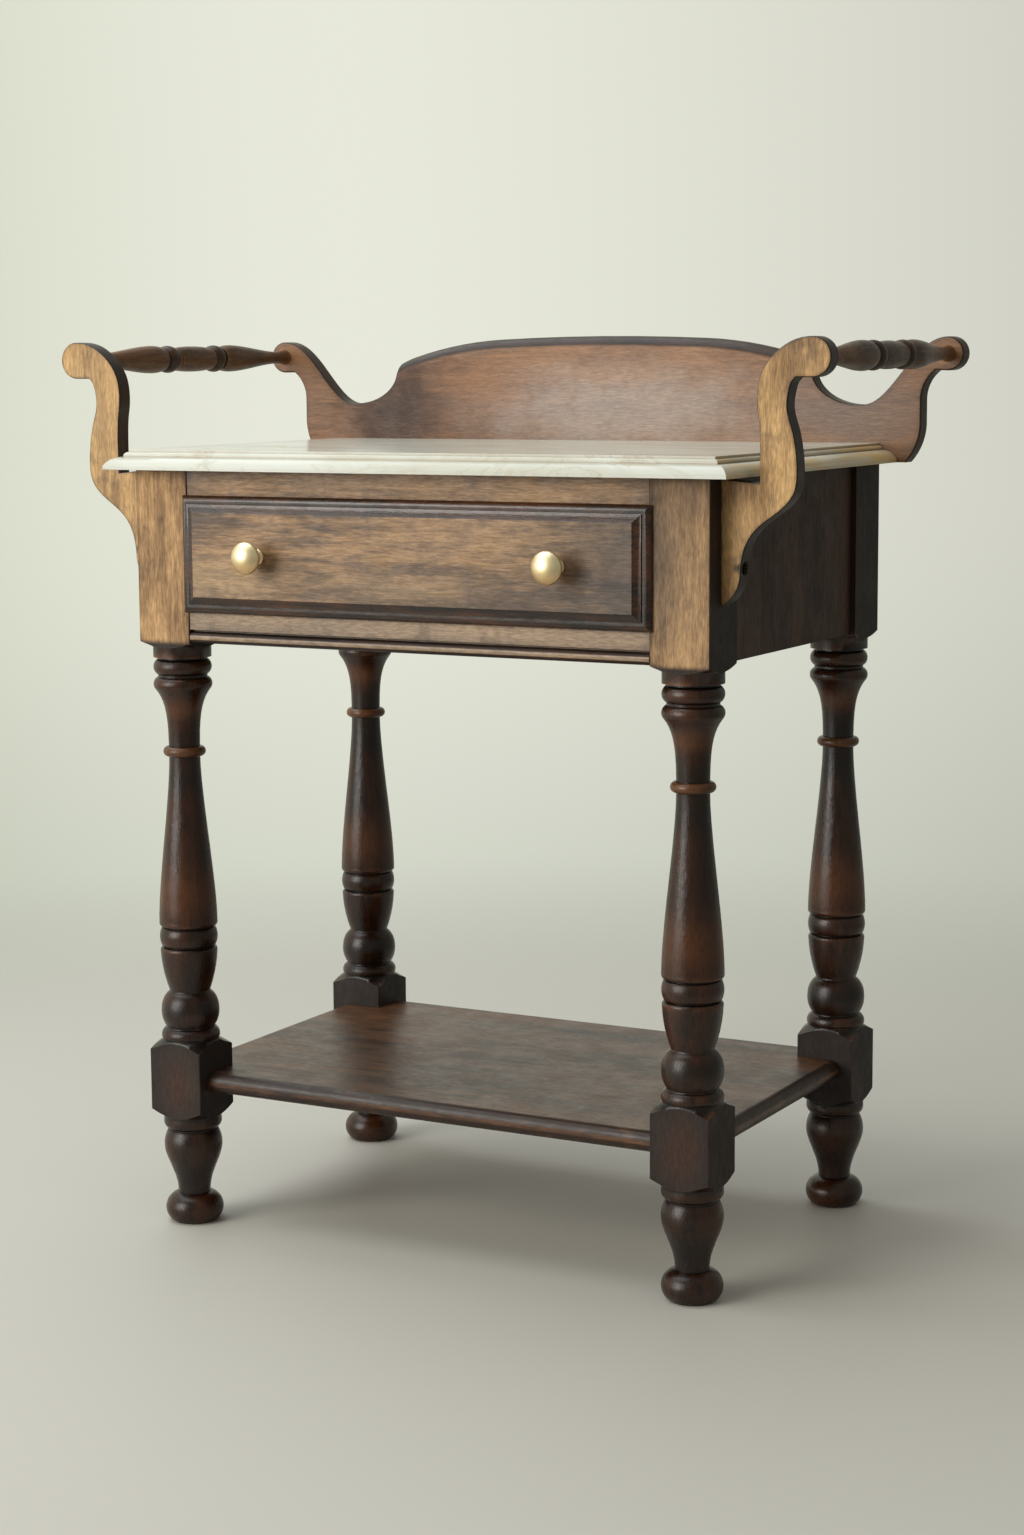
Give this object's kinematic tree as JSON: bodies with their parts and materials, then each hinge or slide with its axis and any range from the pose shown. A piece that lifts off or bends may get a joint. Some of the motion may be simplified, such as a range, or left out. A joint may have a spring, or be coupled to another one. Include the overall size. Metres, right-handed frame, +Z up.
{
  "type": "washstand with marble top",
  "caption": "Turned-leg wooden washstand: moulded marble top, scrolled splashback and side arms with turned towel bars, lipped drawer with brass knobs, low shelf.",
  "frame": {"origin": "on the floor under the middle of the whole stand, knobs and towel bars included", "axes": "+Z up, -Y out of the drawer front towards the user, +X to the user's right"},
  "size_m": [0.8162, 0.443, 0.8796],
  "materials": {
    "stained_wood": "satin walnut stain, rubbed at the edges",
    "inner_wood": "bare planed wood",
    "marble": "polished, faint grey and tan veins",
    "brass": "satin",
    "steel": "dull"
  },
  "bodies": {
    "frame": {"leg_front_left": "stained_wood", "leg_front_right": "stained_wood", "leg_rear_left": "stained_wood", "leg_rear_right": "stained_wood", "top_rail": "stained_wood", "bottom_rail": "stained_wood", "rail_bead": "stained_wood", "side_panel_left": "stained_wood", "side_panel_right": "stained_wood", "back_panel": "stained_wood", "drawer_runner_left": "inner_wood", "drawer_runner_right": "inner_wood", "drawer_kicker_left": "inner_wood", "drawer_kicker_right": "inner_wood", "drawer_guide_left": "inner_wood", "drawer_guide_right": "inner_wood", "shelf": "stained_wood", "shelf_dowels": "inner_wood", "marble_top": "marble", "splashback": "stained_wood", "splashback_dowels": "inner_wood", "arm_left": "stained_wood", "arm_right": "stained_wood", "arm_dowels": "inner_wood", "arm_screws": "steel", "towel_bar_left": "stained_wood", "towel_bar_right": "stained_wood"},
    "drawer": {"drawer_front": "stained_wood", "drawer_side_left": "inner_wood", "drawer_side_right": "inner_wood", "drawer_back": "inner_wood", "drawer_bottom": "inner_wood", "knob_left": "brass", "knob_right": "brass", "knob_screws": "steel"}
  },
  "joints": [
    {"name": "drawer_slide", "type": "slide", "parent": "frame", "child": "drawer", "axis": [0, -1, 0], "range_m": [0, 0.27]}
  ]
}
